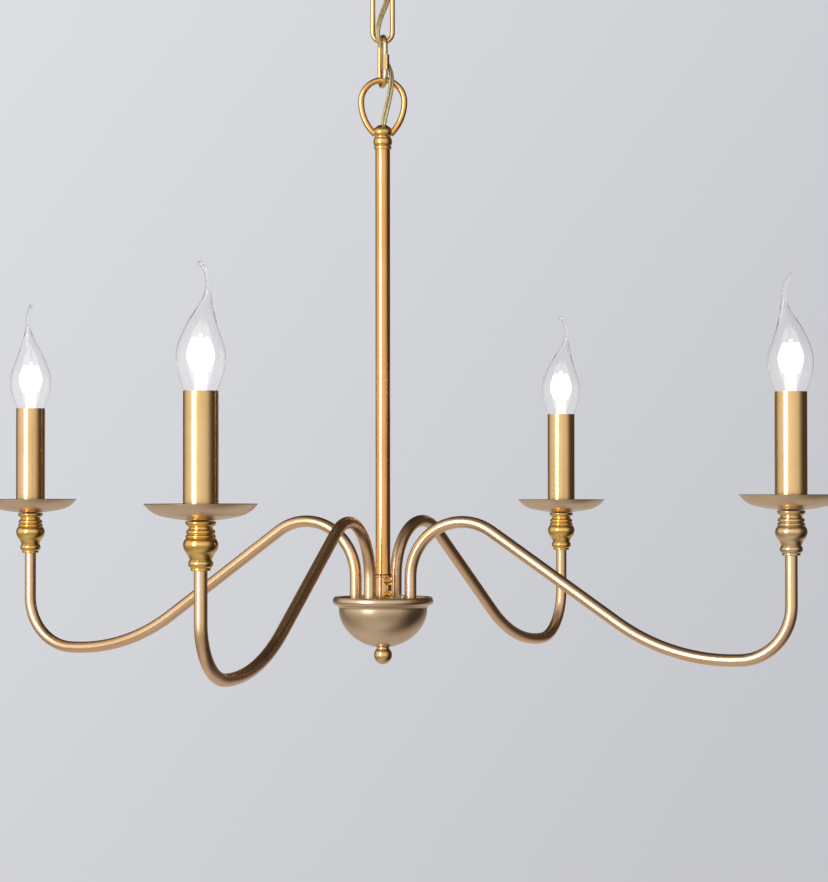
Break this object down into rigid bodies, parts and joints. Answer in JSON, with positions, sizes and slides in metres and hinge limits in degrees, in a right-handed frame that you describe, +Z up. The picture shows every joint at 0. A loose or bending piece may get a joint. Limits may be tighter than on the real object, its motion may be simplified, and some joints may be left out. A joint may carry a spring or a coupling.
{
  "type": "multi arm chandelier",
  "caption": "Hanging chandelier: curved tube arms rise from a bowl-shaped hub to drip pans and candle lamps, on a rigid stem, a chain and a ceiling canopy.",
  "frame": {"origin": "centre of the ceiling face, between the two screw slots of the ceiling bracket", "axes": "+Z up towards the ceiling, +X to the right along the bracket, +Y to the back"},
  "size_m": [0.7016, 0.6995, 0.7476],
  "materials": {
    "satin_gold": "satin",
    "champagne_gold": "satin",
    "champagne_satin": "matte satin",
    "cup_satin": "satin",
    "polished_brass": "polished",
    "sleeve_gold": "satin",
    "chain_gold": "polished",
    "clear_glass": "clear",
    "lamp_cap": "satin",
    "filament": "glowing",
    "lampholder": "matte",
    "clear_flex": "translucent",
    "zinc_steel": "plated"
  },
  "bodies": {
    "ceiling": {"ceiling_bracket": "zinc_steel", "canopy_nipple": "zinc_steel", "canopy_nut": "zinc_steel", "canopy_dish": "satin_gold", "canopy_knob": "satin_gold", "canopy_ring": "satin_gold", "supply_cord": "clear_flex"},
    "link_4": {"chain_link_4": "chain_gold"},
    "link_3": {"chain_link_3": "chain_gold"},
    "link_2": {"chain_link_2": "chain_gold"},
    "link_1": {"chain_link_1": "chain_gold"},
    "quick": {"quick_link": "chain_gold"},
    "gate": {"quick_link_nut": "chain_gold"},
    "fixture": {"stem_ring": "satin_gold", "stem_knob": "satin_gold", "stem_tube": "satin_gold", "hub_collar": "satin_gold", "collar_screws": "polished_brass", "hub_plate": "zinc_steel", "hub_rod": "zinc_steel", "hub_nuts": "zinc_steel", "hub_cup": "champagne_satin", "finial_ball": "satin_gold"},
    "arm_left": {"arm_tube_left": "champagne_gold", "arm_nuts_left": "zinc_steel", "candle_cup_left": "polished_brass", "drip_pan_left": "champagne_satin", "candle_sleeve_left": "sleeve_gold", "lampholder_left": "lampholder"},
    "bulb_left": {"bulb_cap_left": "lamp_cap", "bulb_glass_left": "clear_glass", "bulb_filament_left": "filament"},
    "arm_front": {"arm_tube_front": "champagne_gold", "arm_nuts_front": "zinc_steel", "candle_cup_front": "polished_brass", "drip_pan_front": "champagne_satin", "candle_sleeve_front": "sleeve_gold", "lampholder_front": "lampholder"},
    "bulb_front": {"bulb_cap_front": "lamp_cap", "bulb_glass_front": "clear_glass", "bulb_filament_front": "filament"},
    "arm_back": {"arm_tube_back": "champagne_gold", "arm_nuts_back": "zinc_steel", "candle_cup_back": "polished_brass", "drip_pan_back": "champagne_satin", "candle_sleeve_back": "sleeve_gold", "lampholder_back": "lampholder"},
    "bulb_back": {"bulb_cap_back": "lamp_cap", "bulb_glass_back": "clear_glass", "bulb_filament_back": "filament"},
    "arm_right": {"arm_tube_right": "champagne_gold", "arm_nuts_right": "zinc_steel", "candle_cup_right": "cup_satin", "drip_pan_right": "champagne_satin", "candle_sleeve_right": "sleeve_gold", "lampholder_right": "lampholder"},
    "bulb_right": {"bulb_cap_right": "lamp_cap", "bulb_glass_right": "clear_glass", "bulb_filament_right": "filament"}
  },
  "joints": [
    {"name": "link_4_swing", "type": "hinge", "parent": "ceiling", "child": "link_4", "pos_m": [0, 0, -0.08181], "axis": [1, 0, 0], "range_deg": [-20, 20], "deforming": ["supply_cord"]},
    {"name": "link_3_swing", "type": "hinge", "parent": "link_4", "child": "link_3", "pos_m": [0, 0, -0.12101], "axis": [0, 1, 0], "range_deg": [-20, 20]},
    {"name": "link_2_swing", "type": "hinge", "parent": "link_3", "child": "link_2", "pos_m": [0, 0, -0.16071], "axis": [1, 0, 0], "range_deg": [-20, 20]},
    {"name": "link_1_swing", "type": "hinge", "parent": "link_2", "child": "link_1", "pos_m": [0, 0, -0.20041], "axis": [0, 1, 0], "range_deg": [-20, 20]},
    {"name": "quick_link_swing", "type": "hinge", "parent": "link_1", "child": "quick", "pos_m": [0, 0, -0.24011], "axis": [1, 0, 0], "range_deg": [-20, 20]},
    {"name": "fixture_swing", "type": "hinge", "parent": "quick", "child": "fixture", "pos_m": [0, 0, -0.27581], "axis": [-0.2756, 0.9613, 0], "range_deg": [-20, 20]},
    {"name": "quick_link_nut_slide", "type": "slide", "parent": "quick", "child": "gate", "axis": [0, 0, 1], "range_m": [0, 0.007]},
    {"name": "arm_swivel_left", "type": "hinge", "parent": "fixture", "child": "arm_left", "pos_m": [-0.02242, 0.01036, -0.69782], "axis": [0, 0, 1], "range_deg": [-25, 25]},
    {"name": "arm_swivel_front", "type": "hinge", "parent": "fixture", "child": "arm_front", "pos_m": [-0.01032, -0.02244, -0.69782], "axis": [0, 0, 1], "range_deg": [-25, 25]},
    {"name": "arm_swivel_back", "type": "hinge", "parent": "fixture", "child": "arm_back", "pos_m": [0.01032, 0.02244, -0.69782], "axis": [0, 0, 1], "range_deg": [-25, 25]},
    {"name": "arm_swivel_right", "type": "hinge", "parent": "fixture", "child": "arm_right", "pos_m": [0.02242, -0.01036, -0.69782], "axis": [0, 0, 1], "range_deg": [-25, 25]},
    {"name": "bulb_lift_left", "type": "slide", "parent": "arm_left", "child": "bulb_left", "axis": [0, 0, 1], "range_m": [0, 0.035]},
    {"name": "bulb_lift_front", "type": "slide", "parent": "arm_front", "child": "bulb_front", "axis": [0, 0, 1], "range_m": [0, 0.035]},
    {"name": "bulb_lift_back", "type": "slide", "parent": "arm_back", "child": "bulb_back", "axis": [0, 0, 1], "range_m": [0, 0.035]},
    {"name": "bulb_lift_right", "type": "slide", "parent": "arm_right", "child": "bulb_right", "axis": [0, 0, 1], "range_m": [0, 0.035]}
  ]
}
